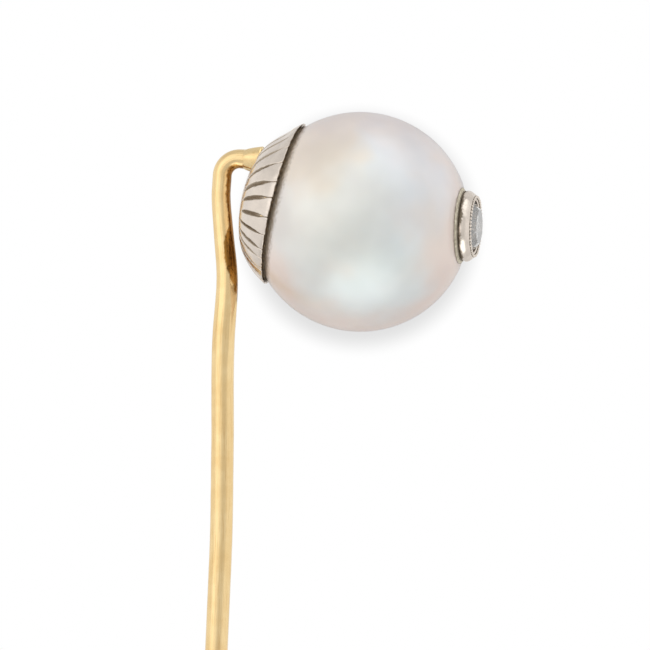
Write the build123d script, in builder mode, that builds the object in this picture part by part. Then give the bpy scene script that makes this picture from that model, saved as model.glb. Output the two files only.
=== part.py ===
from build123d import *
from math import atan2, cos, degrees, radians, sin
import os

# A pearl and diamond pin with a bent neck. All sizes are in millimetres.
# +Z runs up the straight shank, and the origin is where the shank stops being straight.
# The head stands beside the top of the neck, and the diamond looks along +X.

# Wire stem
shank_radius = 0.50
shank_length = 39.0
point_length = 8.0
point_tip_radius = 0.04
neck_radius = 0.42
bend_radius = 0.60
bend_start = (-0.66, 16.93)
sway = [(0, 0), (-0.12, 4.8), (-0.29, 9.6)]
thinning = [(-0.29, 9.6), (-0.24, 12.2), (-0.48, 14.2), bend_start]
foot_radius = 0.48
foot_length = 2.0
foot_gap = 0.12
solder_start = (0.40, 0.25)
solder_cheek = (0.51, 0.66)
solder_end = (0.68, 1.05)

# Pearl, the centre that both mountings are built round
pearl_radius = 4.80
pearl_centre = (5.58, 0, 15.00)

# Both pegs
peg_clearance = 0.05

# Cap on the pearl's back: fluted shell, gold lining, cement and peg
cap_tilt = 11.0
cap_turn = 3.0
cap_height = 5.27
cap_outline = [(1.27, 5.13), (2.30, 4.80), (3.15, 4.10)]
cap_rim = (3.62, 3.40)
cap_rim_slope = (0.55, -1)
cap_mouth_overrun = 6.0
lining_polar = 43.0
cement_thickness = 0.07
lining_thickness = 0.12
cap_peg_radius = 0.35
cap_peg_end = 2.30
flute_count = 26
flute_start = (1.25, 5.16)
flute_middle = (2.637, 4.389)
flute_end = (3.656, 3.292)
flute_depth = 0.35
flute_half_width = 0.20

# Collet on the pearl's front: bearer let into the pearl, flange, bezel, peg and cement
seat_radius = 1.36
seat_floor = 3.80
bearer_radius = 1.32
bearer_bore = 1.11
bearer_floor = 3.85
bearer_bore_floor = 4.00
bearer_top = 4.82
flange_radius = 1.64
flange_top = 4.69
film_thickness = 0.03
bead_radius = 1.80
bead_height = 0.09
bezel_foot_radius = 1.40
bezel_belly = (1.50, 4.90)
bezel_rim_radius = 1.31
bezel_front = 5.20
bezel_bore = 1.17
bezel_lip_start = 5.03
bezel_lip = (1.09, 5.08)
bezel_lip_top = 1.14
collet_peg_radius = 0.30
collet_peg_end = 2.10

# Diamond, single cut with eight sides
stone_sides = 8
stone_radius = 1.15
stone_culet_radius = 0.08
stone_table_radius = 0.72
stone_culet = 4.05
stone_girdle = 4.92
stone_girdle_top = 4.98
stone_table = 5.30


def turning(origin, axis):
    """A frame with Z along the axis, a section plane (X radius, Y height) and the axis line."""
    across = Vector(0, 0, 1).cross(axis)
    frame = Plane(origin=origin, x_dir=across, z_dir=axis)
    section = Plane(origin=origin, x_dir=across, z_dir=across.cross(axis))
    return frame, section, Axis(origin, axis)


# The cap leans up from -X and turns a little to the side. The collet faces straight along +X.
cap_axis = Vector(-1, 0, 0).rotate(Axis.Y, cap_tilt).rotate(Axis.Z, cap_turn)
cap_frame, cap_section, cap_line = turning(pearl_centre, cap_axis)
collet_frame, collet_section, collet_line = turning(pearl_centre, Vector(1, 0, 0))

# The foot runs along +X from the end of the bend, and so does its solder.
foot_start = (bend_start[0] + bend_radius, 0, bend_start[1] + bend_radius)
foot_plane, foot_section, foot_line = turning(foot_start, Vector(1, 0, 0))

rim_polar = degrees(atan2(cap_rim[0], cap_rim[1]))
mouth_polar = rim_polar + cap_mouth_overrun
cement_radius = pearl_radius + cement_thickness
lining_radius = cement_radius + lining_thickness
film_radius = pearl_radius + film_thickness
cap_hole_radius = cap_peg_radius + peg_clearance
cap_hole_end = cap_peg_end - peg_clearance
collet_hole_radius = collet_peg_radius + peg_clearance
collet_hole_end = collet_peg_end - peg_clearance


def off_axis(radius, polar):
    """A point at a distance from the pearl's centre, and at an angle off the mounting's axis."""
    return (radius * sin(radians(polar)), radius * cos(radians(polar)))


def sphere_arc(radius, start, end):
    """An arc round the pearl's centre, between two angles off the mounting's axis."""
    middle = off_axis(radius, (start + end) / 2)
    return ThreePointArc(off_axis(radius, start), middle, off_axis(radius, end))


def polar_at(radius, across):
    """The angle off the axis at which a sphere of this radius is this far across."""
    return degrees(atan2(across, (radius**2 - across**2) ** 0.5))


# The cap's outside as a solid dome. It trims the solder, and the stem a little short of it.
with BuildPart() as dome:
    with BuildSketch(cap_section):
        with BuildLine():
            Spline((0, cap_height), *cap_outline, cap_rim, tangents=[(1, 0), cap_rim_slope])
            Polyline(cap_rim, (0, 0), (0, cap_height))
        make_face()
    revolve(axis=cap_line)

# Stem: a tapered point, a straight shank, a swaying neck, a tight bend and a spreading foot.
with BuildPart() as stem:
    with BuildSketch(Plane.XZ):
        with BuildLine():
            Polyline(
                (0, 0),
                (shank_radius, 0),
                (shank_radius, -shank_length),
                (point_tip_radius, -shank_length - point_length),
                (0, -shank_length - point_length),
                close=True,
            )
        make_face()
    revolve(axis=Axis.Z)
    with BuildLine(Plane.XZ) as sway_path:
        Spline(*sway, tangents=[(0, 1), (0, 1)])
    with BuildSketch(Plane.XY):
        Circle(shank_radius)
    sweep(path=sway_path.wires()[0])
    with BuildLine(Plane.XZ) as thinning_path:
        Spline(*thinning, tangents=[(0, 1), (0, 1)])
    with BuildSketch(Plane(origin=thinning_path.line @ 0)):
        Circle(shank_radius)
    with BuildSketch(Plane(origin=thinning_path.line @ 1)):
        Circle(neck_radius)
    sweep(path=thinning_path.wires()[0], multisection=True)
    with BuildLine(Plane.XZ) as bend_path:
        JernArc(start=bend_start, tangent=(0, 1), radius=bend_radius, arc_size=-90)
    with BuildSketch(Plane(origin=bend_path.line @ 0)):
        Circle(neck_radius)
    sweep(path=bend_path.wires()[0])
    with BuildSketch(foot_plane):
        Circle(neck_radius)
    with BuildSketch(foot_plane.offset(foot_length)):
        Circle(foot_radius)
    loft()
    add(dome.part.moved(Location((-foot_gap, 0, 0))), mode=Mode.SUBTRACT)

# Solder: a bed under the foot and a hollow-cheeked fillet round it, against the dome.
with BuildPart() as stem_solder:
    with BuildSketch(foot_section):
        with BuildLine():
            cheek = ThreePointArc(solder_start, solder_cheek, solder_end)
            Polyline(cheek @ 1, (0, solder_end[1]), (0, solder_start[1]), cheek @ 0)
        make_face()
    revolve(axis=foot_line)
    add(dome.part, mode=Mode.SUBTRACT)
    add(stem.part, mode=Mode.SUBTRACT)

# Cap shell: the dome hollowed for its lining, with tapered cuts that run out at the rim.
with BuildPart() as flute_cutter:
    with BuildLine(Plane.XZ) as flute_path:
        ThreePointArc(flute_start, flute_middle, flute_end)
    with BuildSketch(Plane(origin=flute_path.line @ 0, x_dir=(0, 1, 0), z_dir=flute_path.line % 0)):
        Polygon((0, 0), (flute_half_width, flute_depth), (-flute_half_width, flute_depth), align=None)
    sweep(path=flute_path.wires()[0])

with BuildPart() as cap_shell:
    add(dome.part)
    with BuildSketch(cap_section):
        with BuildLine():
            hollow = sphere_arc(lining_radius, 0, lining_polar)
            Line(hollow @ 1, off_axis(cement_radius, lining_polar))
            mouth = sphere_arc(cement_radius, lining_polar, mouth_polar)
            Polyline(mouth @ 1, (0, 0), hollow @ 0)
        make_face()
    revolve(axis=cap_line, mode=Mode.SUBTRACT)
    with Locations(cap_frame):
        with PolarLocations(radius=0, count=flute_count):
            add(flute_cutter.part, mode=Mode.SUBTRACT)

# Cap lining: a plain gold cup soldered inside the shell.
with BuildPart() as cap_lining:
    with BuildSketch(cap_section):
        with BuildLine():
            inner = sphere_arc(cement_radius, 0, lining_polar)
            Line(inner @ 1, off_axis(lining_radius, lining_polar))
            outer = sphere_arc(lining_radius, lining_polar, 0)
            Line(outer @ 1, inner @ 0)
        make_face()
    revolve(axis=cap_line)

# Cap peg: a wire soldered to the lining, which enters the pearl.
with BuildPart() as cap_peg:
    with BuildSketch(cap_frame.offset(cap_peg_end)):
        Circle(cap_peg_radius)
    extrude(amount=cap_height - cap_peg_end)
    with Locations(pearl_centre):
        Sphere(cement_radius, mode=Mode.INTERSECT)

# Cap cement: the bed between lining and pearl, which also fills the peg's hole.
with BuildPart() as cap_cement:
    with BuildSketch(cap_section):
        with BuildLine():
            bed = sphere_arc(pearl_radius, polar_at(pearl_radius, cap_hole_radius), lining_polar)
            Line(bed @ 1, off_axis(cement_radius, lining_polar))
            back = sphere_arc(cement_radius, lining_polar, polar_at(cement_radius, cap_peg_radius))
            Polyline(
                back @ 1,
                (cap_peg_radius, cap_peg_end),
                (0, cap_peg_end),
                (0, cap_hole_end),
                (cap_hole_radius, cap_hole_end),
                bed @ 0,
            )
        make_face()
    revolve(axis=cap_line)

# Pearl: a ball drilled from behind for the cap's peg, and let in and drilled for the collet.
with BuildPart() as pearl:
    with Locations(pearl_centre):
        Sphere(pearl_radius)
    with BuildSketch(cap_frame.offset(cap_hole_end)):
        Circle(cap_hole_radius)
    extrude(amount=pearl_radius, mode=Mode.SUBTRACT)
    with BuildSketch(collet_frame.offset(collet_hole_end)):
        Circle(collet_hole_radius)
    extrude(amount=pearl_radius, mode=Mode.SUBTRACT)
    with BuildSketch(collet_frame.offset(seat_floor)):
        Circle(seat_radius)
    extrude(amount=pearl_radius, mode=Mode.SUBTRACT)

# Collet bearer: a cup let into the pearl, whose wall carries the stone's girdle.
with BuildPart() as collet_bearer:
    with BuildSketch(collet_frame.offset(bearer_floor)):
        Circle(bearer_radius)
    extrude(amount=bearer_top - bearer_floor)
    with BuildSketch(collet_frame.offset(bearer_bore_floor)):
        Circle(bearer_bore)
    extrude(amount=bearer_top - bearer_bore_floor, mode=Mode.SUBTRACT)

# Collet peg: a wire soldered under the bearer.
with BuildPart() as collet_peg:
    with BuildSketch(collet_frame.offset(collet_peg_end)):
        Circle(collet_peg_radius)
    extrude(amount=bearer_floor - collet_peg_end)

# Collet cement: fills the peg's hole and the space round the bearer, passes under the flange
# as a film, and stands as a low bead round its edge.
with BuildPart() as collet_cement:
    bead_top = off_axis(
        pearl_radius + bead_height, polar_at(pearl_radius + bead_height, flange_radius)
    )
    with BuildSketch(collet_section):
        with BuildLine():
            bed = sphere_arc(
                pearl_radius, polar_at(pearl_radius, seat_radius), polar_at(pearl_radius, bead_radius)
            )
            film = sphere_arc(
                film_radius, polar_at(film_radius, flange_radius), polar_at(film_radius, bearer_radius)
            )
            Polyline(bed @ 1, bead_top, film @ 0)
            Polyline(
                film @ 1,
                (bearer_radius, bearer_floor),
                (collet_peg_radius, bearer_floor),
                (collet_peg_radius, collet_peg_end),
                (0, collet_peg_end),
                (0, collet_hole_end),
                (collet_hole_radius, collet_hole_end),
                (collet_hole_radius, seat_floor),
                (seat_radius, seat_floor),
                bed @ 0,
            )
        make_face()
    revolve(axis=collet_line)

# Collet flange: a plate dished to the pearl, round the bearer.
with BuildPart() as collet_flange:
    with BuildSketch(collet_section):
        with BuildLine():
            under = sphere_arc(
                film_radius, polar_at(film_radius, bearer_radius), polar_at(film_radius, flange_radius)
            )
            Polyline(
                under @ 1, (flange_radius, flange_top), (bearer_radius, flange_top), under @ 0
            )
        make_face()
    revolve(axis=collet_line)

# Collet bezel: a bulging wall round the bearer, with a lip turned over the stone.
with BuildPart() as collet_bezel:
    with BuildSketch(collet_section):
        with BuildLine():
            wall = ThreePointArc(
                (bezel_foot_radius, flange_top), bezel_belly, (bezel_rim_radius, bezel_front)
            )
            Polyline(
                wall @ 1,
                (bezel_lip_top, bezel_front),
                bezel_lip,
                (bezel_bore, bezel_lip_start),
                (bezel_bore, bearer_top),
                (bearer_radius, bearer_top),
                (bearer_radius, flange_top),
                wall @ 0,
            )
        make_face()
    revolve(axis=collet_line)

# Diamond: eight pavilion facets to a small culet, and eight crown facets to the table.
with BuildPart() as diamond:
    across = stone_radius / cos(radians(180 / stone_sides))
    with BuildSketch(collet_frame.offset(stone_culet)):
        RegularPolygon(radius=stone_culet_radius, side_count=stone_sides)
    with BuildSketch(collet_frame.offset(stone_girdle)):
        RegularPolygon(radius=across, side_count=stone_sides)
    loft()
    with BuildSketch(collet_frame.offset(stone_girdle)):
        RegularPolygon(radius=across, side_count=stone_sides)
    extrude(amount=stone_girdle_top - stone_girdle)
    with BuildSketch(collet_frame.offset(stone_girdle_top)):
        RegularPolygon(radius=across, side_count=stone_sides)
    with BuildSketch(collet_frame.offset(stone_table)):
        RegularPolygon(radius=stone_table_radius, side_count=stone_sides)
    loft()
    with BuildSketch(collet_frame.offset(stone_culet)):
        Circle(stone_radius)
    extrude(amount=stone_table - stone_culet, mode=Mode.INTERSECT)

pieces = {
    "stem": stem,
    "stem_solder": stem_solder,
    "cap_shell": cap_shell,
    "cap_lining": cap_lining,
    "cap_peg": cap_peg,
    "cap_cement": cap_cement,
    "pearl": pearl,
    "collet_cement": collet_cement,
    "collet_peg": collet_peg,
    "collet_bearer": collet_bearer,
    "collet_flange": collet_flange,
    "collet_bezel": collet_bezel,
    "diamond": diamond,
}
os.makedirs("parts", exist_ok=True)
for name, piece in pieces.items():
    piece.part.label = name
    export_step(piece.part, f"parts/{name}.step")
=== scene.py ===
"""The visible surfaces of a pearl and diamond pin with a bent gold neck.

Every size in a class below is in millimetres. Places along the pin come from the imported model's
own boxes, so nothing here moves or resizes it. Local frames have Z along a mounting's axis.
"""

from __future__ import annotations

import logging
import math
from dataclasses import dataclass, field
from enum import Enum
from typing import Callable, Sequence

import bmesh
import bpy
import numpy as np
from mathutils import Matrix, Vector


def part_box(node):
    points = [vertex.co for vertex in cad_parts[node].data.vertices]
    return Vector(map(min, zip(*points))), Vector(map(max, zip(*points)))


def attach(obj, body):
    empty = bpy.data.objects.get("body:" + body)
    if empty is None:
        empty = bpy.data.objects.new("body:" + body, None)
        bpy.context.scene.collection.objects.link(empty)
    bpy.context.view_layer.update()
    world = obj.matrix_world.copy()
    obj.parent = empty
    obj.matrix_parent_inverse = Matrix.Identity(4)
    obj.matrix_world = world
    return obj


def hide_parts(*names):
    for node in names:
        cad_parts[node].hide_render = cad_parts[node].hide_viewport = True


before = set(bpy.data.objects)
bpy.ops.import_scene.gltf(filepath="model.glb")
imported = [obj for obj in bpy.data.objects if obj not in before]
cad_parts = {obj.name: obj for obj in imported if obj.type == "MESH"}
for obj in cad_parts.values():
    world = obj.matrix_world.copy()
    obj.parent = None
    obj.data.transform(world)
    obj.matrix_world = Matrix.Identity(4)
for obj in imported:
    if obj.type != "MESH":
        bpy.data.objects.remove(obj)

MM = 0.001
RADIAN = math.pi / 180
BODY = "root"

# How far the cap's axis dips and turns from the frame's X, in degrees.
CAP_TILT = 11.0
CAP_TURN = 3.0

LOG = logging.getLogger("pin")

Colour = tuple[float, float, float]
Point2 = tuple[float, float]


class Slot(Enum):
    """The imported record's material slots."""

    GOLD = "gold"
    SOLDER = "solder"
    WHITE_METAL = "white_metal"
    PEARL = "pearl"
    CEMENT = "cement"
    DIAMOND = "diamond"


class Attribute(Enum):
    """Values that a mesh carries for its finish."""

    CUT = "cut"
    # Amber tarnish, painted shade under the bend and a painted dark reflection on the neck's side.
    TARNISH_AND_SHADE = "tarnish_and_shade"
    PANEL = "panel"
    ROUND = "round"
    ALONG = "along"
    HEART = "heart"


# ---------------------------------------------------------------------------------------------
# Node trees, for finishes and for Geometry Nodes alike
# ---------------------------------------------------------------------------------------------


@dataclass(frozen=True)
class Wire:
    """A node's output that can be reckoned with like a number."""

    bench: "Bench"
    socket: bpy.types.NodeSocket

    def reckon(self, operation: str, *others: "Wire | float", clamp: bool = False) -> "Wire":
        """Puts this value and others through a Math node.

        Args:
            operation: the Math node's operation.
            others: its second and third values.
            clamp: keeps the result between 0 and 1.

        Returns:
            The result's wire.
        """
        values = dict(enumerate((self, *others)))
        node = self.bench.add("ShaderNodeMath", values, operation=operation, use_clamp=clamp)
        return self.bench.out(node, "Value")

    def __add__(self, other: "Wire | float") -> "Wire":
        """Sum."""
        return self.reckon("ADD", other)

    def __sub__(self, other: "Wire | float") -> "Wire":
        """Difference."""
        return self.reckon("SUBTRACT", other)

    def __mul__(self, other: "Wire | float") -> "Wire":
        """Product."""
        return self.reckon("MULTIPLY", other)

    def __truediv__(self, other: "Wire | float") -> "Wire":
        """Quotient."""
        return self.reckon("DIVIDE", other)

    def rest(self) -> "Wire":
        """What it leaves of 1."""
        return self * -1.0 + 1.0

    def share_of(self, whole: float) -> "Wire":
        """A whole divided by this."""
        node = self.bench.add("ShaderNodeMath", {0: whole, 1: self}, operation="DIVIDE")
        return self.bench.out(node, "Value")

    def sin(self) -> "Wire":
        """Sine."""
        return self.reckon("SINE")

    def cos(self) -> "Wire":
        """Cosine."""
        return self.reckon("COSINE")

    def floor(self) -> "Wire":
        """Whole part."""
        return self.reckon("FLOOR")

    def modulo(self, other: "Wire | float") -> "Wire":
        """Remainder, never negative."""
        return self.reckon("FLOORED_MODULO", other)

    def at_most(self, other: "Wire | float") -> "Wire":
        """The smaller of two."""
        return self.reckon("MINIMUM", other)

    def at_least(self, other: "Wire | float") -> "Wire":
        """The larger of two."""
        return self.reckon("MAXIMUM", other)

    def ramp(
        self, low: "Wire | float", high: "Wire | float", start: "Wire | float" = 0.0,
        end: "Wire | float" = 1.0, smooth: bool = False,
    ) -> "Wire":
        """Maps low to high onto start to end, and holds the ends.

        Args:
            low: the value that gives start.
            high: the value that gives end.
            start: the result at low.
            end: the result at high.
            smooth: eases in and out.

        Returns:
            The mapped value's wire.
        """
        node = self.bench.add(
            "ShaderNodeMapRange",
            {"Value": self, "From Min": low, "From Max": high, "To Min": start, "To Max": end},
            clamp=True,
            interpolation_type="SMOOTHSTEP" if smooth else "LINEAR",
        )
        return self.bench.out(node, "Result")


class Bench:
    """A node tree, with short ways to add to it."""

    def __init__(self, tree: bpy.types.NodeTree) -> None:
        """Works on a tree."""
        self.tree = tree

    @staticmethod
    def socket(sockets: Sequence[bpy.types.NodeSocket], key: str | int) -> bpy.types.NodeSocket:
        """A socket by its place, its identifier or its name.

        Args:
            sockets: a node's inputs or outputs.
            key: what to look for.

        Returns:
            The socket.
        """
        if isinstance(key, int):
            return sockets[key]
        for found in sockets:
            if found.identifier == key and found.enabled:
                return found
        return next(s for s in sockets if s.name == key and s.enabled)

    def add(self, kind: str, inputs: dict[str | int, object], **settings: object) -> bpy.types.Node:
        """Adds a node.

        Args:
            kind: the node's type.
            inputs: what goes into it, by socket: wires or plain values.
            settings: its own properties, set first.

        Returns:
            The node.
        """
        node = self.tree.nodes.new(kind)
        for name, value in settings.items():
            setattr(node, name, value)
        for key, value in inputs.items():
            socket = self.socket(node.inputs, key)
            if isinstance(value, Wire):
                self.tree.links.new(value.socket, socket)
            else:
                socket.default_value = value
        return node

    def out(self, node: bpy.types.Node, key: str | int = 0) -> Wire:
        """A node's output as a wire."""
        return Wire(self, self.socket(node.outputs, key))

    def split(self, vector: Wire) -> tuple[Wire, Wire, Wire]:
        """A vector's X, Y and Z."""
        node = self.add("ShaderNodeSeparateXYZ", {0: vector})
        return self.out(node, 0), self.out(node, 1), self.out(node, 2)

    def join(self, x: Wire | float, y: Wire | float, z: Wire | float) -> Wire:
        """A vector of three values."""
        return self.out(self.add("ShaderNodeCombineXYZ", {0: x, 1: y, 2: z}))

    def vector(self, operation: str, *values: object, out: str = "Vector") -> Wire:
        """Puts vectors through a Vector Math node.

        Args:
            operation: the node's operation.
            values: its inputs in order.
            out: the output wanted.

        Returns:
            The result's wire.
        """
        places = {"SCALE": (0, "Scale")}.get(operation, tuple(range(len(values))))
        node = self.add("ShaderNodeVectorMath", dict(zip(places, values)), operation=operation)
        return self.out(node, out)

    def noise(
        self, vector: Wire, scale: float, detail: float = 2.0, rough: float = 0.5, warp: float = 0.0
    ) -> Wire:
        """Smooth noise from 0 to 1.

        Args:
            vector: where it is read.
            scale: how fine it is.
            detail: how many finer layers it has.
            rough: how strong those are.
            warp: how far it is twisted.

        Returns:
            The noise's wire.
        """
        inputs = {"Vector": vector, "Scale": scale, "Detail": detail, "Roughness": rough,
                  "Distortion": warp}
        return self.out(self.add("ShaderNodeTexNoise", inputs), 0)

    def curve(self, value: Wire, knots: Sequence[Point2], corners_from: float = math.inf) -> Wire:
        """Reads a smooth curve that passes some knots.

        Args:
            value: where it is read, from 0 to 1.
            knots: the places and values that it passes.
            corners_from: the place from which the knots are corners.

        Returns:
            The curve's wire.
        """
        node = self.tree.nodes.new("ShaderNodeFloatCurve")
        line = node.mapping.curves[0]
        while len(line.points) < len(knots):
            line.points.new(0.5, 0.5)
        for point, knot in zip(line.points, knots):
            point.location = knot
            point.handle_type = "VECTOR" if knot[0] >= corners_from else "AUTO"
        node.mapping.update()
        self.tree.links.new(value.socket, node.inputs["Value"])
        return self.out(node, "Value")

    def blend(self, share: Wire | float, first: object, second: object) -> Wire:
        """Mixes two colours.

        Args:
            share: how much of the second.
            first: a colour or its wire.
            second: a colour or its wire.

        Returns:
            The mixed colour's wire.
        """
        ends = [(*c, 1.0) if isinstance(c, tuple) and len(c) == 3 else c for c in (first, second)]
        inputs = {"Factor_Float": share, "A_Color": ends[0], "B_Color": ends[1]}
        return self.out(self.add("ShaderNodeMix", inputs, data_type="RGBA"), "Result_Color")


# ---------------------------------------------------------------------------------------------
# Finishes
# ---------------------------------------------------------------------------------------------


@dataclass(frozen=True)
class Finish:
    """A surface finish. Each kind adds its own pattern to the same shader."""

    name: str

    def pattern(self, bench: Bench, place: Wire, shader: bpy.types.Node) -> None:
        """Sets the shader up.

        Args:
            bench: the material's tree.
            place: the point on the piece, in millimetres.
            shader: the Principled shader.
        """
        raise NotImplementedError

    def material(self) -> bpy.types.Material:
        """Builds the material.

        Returns:
            The material.
        """
        made = bpy.data.materials.new(self.name)
        made.use_nodes = True
        bench = Bench(made.node_tree)
        coordinates = bench.add("ShaderNodeTexCoord", {})
        place = bench.vector("SCALE", bench.out(coordinates, "Object"), 1 / MM)
        self.pattern(bench, place, made.node_tree.nodes["Principled BSDF"])
        return made

    @staticmethod
    def feed(bench: Bench, shader: bpy.types.Node, inputs: dict[str, object]) -> None:
        """Sets or links the shader's inputs.

        Args:
            bench: the material's tree.
            shader: the Principled shader.
            inputs: values and wires by socket name.
        """
        for name, value in inputs.items():
            if isinstance(value, Wire):
                bench.tree.links.new(value.socket, shader.inputs[name])
            else:
                is_colour = shader.inputs[name].type == "RGBA"
                shader.inputs[name].default_value = (*value, 1.0) if is_colour else value

    @staticmethod
    def bump(bench: Bench, height: Wire, depth: float, strength: float = 1.0) -> Wire:
        """A bumped normal.

        Args:
            bench: the material's tree.
            height: the pattern, from 0 to 1.
            depth: what 1 stands for, in millimetres.
            strength: how much of it shows.

        Returns:
            The normal's wire.
        """
        inputs = {"Height": height, "Distance": depth * MM, "Strength": strength}
        return bench.out(bench.add("ShaderNodeBump", inputs), "Normal")

    @staticmethod
    def carried(bench: Bench, attribute: Attribute, output: str = "Fac") -> Wire:
        """A value that the mesh carries."""
        node = bench.add("ShaderNodeAttribute", {}, attribute_name=attribute.value)
        return bench.out(node, output)


@dataclass(frozen=True)
class WornGold(Finish):
    """Old yellow gold wire: drawn streaks, fine knocks, and amber tarnish where nothing rubs, with
    painted shade under the bend and a painted dark reflection on the neck's side; the solder is painted
    darker low down, as shade under the joint.
    """

    light: Colour = (0.94, 0.71, 0.375)
    deep: Colour = (0.86, 0.61, 0.29)
    amber: Colour = (0.46, 0.22, 0.045)
    brown: Colour = (0.10, 0.045, 0.012)
    streak: Colour = (0.74, 0.47, 0.19)
    drawn: bool = True
    shaded_below: float = 0.0

    def pattern(self, bench: Bench, place: Wire, shader: bpy.types.Node) -> None:
        """Sets the shader up. Args as in Finish."""
        along = place
        if self.drawn:
            x, y, _ = bench.split(self.carried(bench, Attribute.ROUND, "Vector"))
            along = bench.join(x, y, self.carried(bench, Attribute.ALONG) * 0.06)
        streaks = bench.noise(along, 9.0, 4.0, 0.65)
        cloud = bench.noise(place, 0.8, 3.0, 0.6)
        knocks = bench.noise(place, 11.0, 3.0, 0.6)
        colour = bench.blend(cloud.ramp(0.38, 0.66), self.light, self.deep)
        colour = bench.blend(streaks.ramp(0.52, 0.70) * 0.75, colour, self.streak)
        pits = knocks.ramp(0.70, 0.76)
        colour = bench.blend(pits * 0.4, colour, self.amber)
        rough = streaks.ramp(0.3, 0.7, 0.13, 0.22) + pits * 0.15
        if self.drawn:
            # The carried mask: tarnish, painted shade under the bend and a painted dark reflection on the
            # neck's side.
            stain_and_shade = self.carried(bench, Attribute.TARNISH_AND_SHADE)
            fleck = bench.noise(along, 5.0, 4.0, 0.7, 0.6)
            spots = bench.noise(place, 8.0, 3.0, 0.7)
            film = bench.blend(
                (fleck.ramp(0.50, 0.64) * 0.5 + spots.ramp(0.52, 0.66) * 0.7).at_most(1.0),
                self.amber, self.brown,
            )
            film = bench.blend(fleck.ramp(0.46, 0.38) * 0.60, film, self.streak)
            colour = bench.blend(stain_and_shade, colour, film)
            rough = rough + stain_and_shade * 0.10
        else:
            # Painted shade: the solder turns amber and brown below a given height, under the joint.
            _, _, height = bench.split(place)
            low = (height + knocks.ramp(0.3, 0.7, -0.05, 0.05)).ramp(
                self.shaded_below, self.shaded_below - 0.10, 0.0, 0.85, smooth=True
            )
            film = bench.blend(knocks.ramp(0.4, 0.6), self.amber, self.brown)
            colour = bench.blend(low, colour, film)
        self.feed(bench, shader, {
            "Base Color": colour,
            "Metallic": 1.0,
            "Roughness": rough,
            "Normal": self.bump(bench, streaks * 0.7 + knocks * 0.3, 0.010, 0.5),
        })


@dataclass(frozen=True)
class WhiteMetal(Finish):
    """Worn platinum: warm grey, finely scratched, with grime and painted shade down in its cuts and
    towards the collet's foot, and a darker ring on the ledge round the stone.
    """

    pale: Colour = (0.86, 0.765, 0.67)
    dull: Colour = (0.74, 0.66, 0.585)
    # The colour of grime and of painted shade.
    grime: Colour = (0.20, 0.165, 0.12)
    cuts: bool = False
    groove: tuple[float, float] | None = None
    seat: tuple[float, float, float] | None = None

    def pattern(self, bench: Bench, place: Wire, shader: bpy.types.Node) -> None:
        """Sets the shader up. Args as in Finish."""
        cloud = bench.noise(place, 1.6, 3.0, 0.6)
        scratches = bench.noise(bench.vector("MULTIPLY", place, (3.0, 26.0, 9.0)), 1.0, 3.0, 0.6, 0.6)
        specks = bench.noise(place, 16.0, 2.0, 0.6)
        colour = bench.blend(cloud.ramp(0.3, 0.7), self.pale, self.dull)
        dirt_and_shade = specks.ramp(0.67, 0.75) * 0.5
        # Down in the cuts: grime and painted shade.
        if self.cuts:
            depth = self.carried(bench, Attribute.CUT)
            grit = specks.ramp(0.3, 0.6, 0.72, 1.0)
            dirt_and_shade = dirt_and_shade.at_least(depth.ramp(0.03, 0.12) * grit)
            shade = self.carried(bench, Attribute.PANEL).ramp(0.0, 1.0, 0.0, 0.45)
            colour = bench.blend(shade, colour, self.dull)
        # Towards the collet's foot: grime and painted shade.
        if self.groove is not None:
            clear, darkest_at = self.groove
            centre = pearl_place()[0] / MM
            x, y, z = bench.split(bench.vector("SUBTRACT", place, tuple(centre)))
            height = x + specks.ramp(0.3, 0.7, -0.05, 0.05) + cloud.ramp(0.35, 0.7, 0.04, -0.22)
            dirt_and_shade = dirt_and_shade.at_least(height.ramp(clear, darkest_at, 0.0, 0.9, smooth=True))
            # A darker ring on the ledge round the stone.
            if self.seat is not None:
                inner, outer, top = self.seat
                reach = bench.vector("LENGTH", bench.join(y, z, 0.0), out="Value")
                across = reach.ramp(inner, inner + 0.02) * reach.ramp(outer, outer + 0.02, 1.0, 0.0)
                along = x.ramp(top - 0.08, top - 0.06) * x.ramp(top, top + 0.03, 1.0, 0.0)
                dirt_and_shade = dirt_and_shade.at_least(across * along * 0.9)
        colour = bench.blend(dirt_and_shade, colour, self.grime)
        self.feed(bench, shader, {
            "Base Color": colour,
            "Metallic": 1.0,
            "Roughness": scratches.ramp(0.3, 0.75, 0.14, 0.28) + dirt_and_shade * 0.42,
            "Normal": self.bump(bench, scratches + specks * (dirt_and_shade * 4.0 + 0.6), 0.006, 0.5),
        })


@dataclass(frozen=True)
class OrientTintAndGlow:
    """A soft patch of colour on the pearl, by its direction from the centre: an orient tint, and a
    painted glow where the lights' highlights fall as seen from the front.
    """

    towards: tuple[float, float, float]
    spread: float
    colour: Colour
    strength: float


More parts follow.
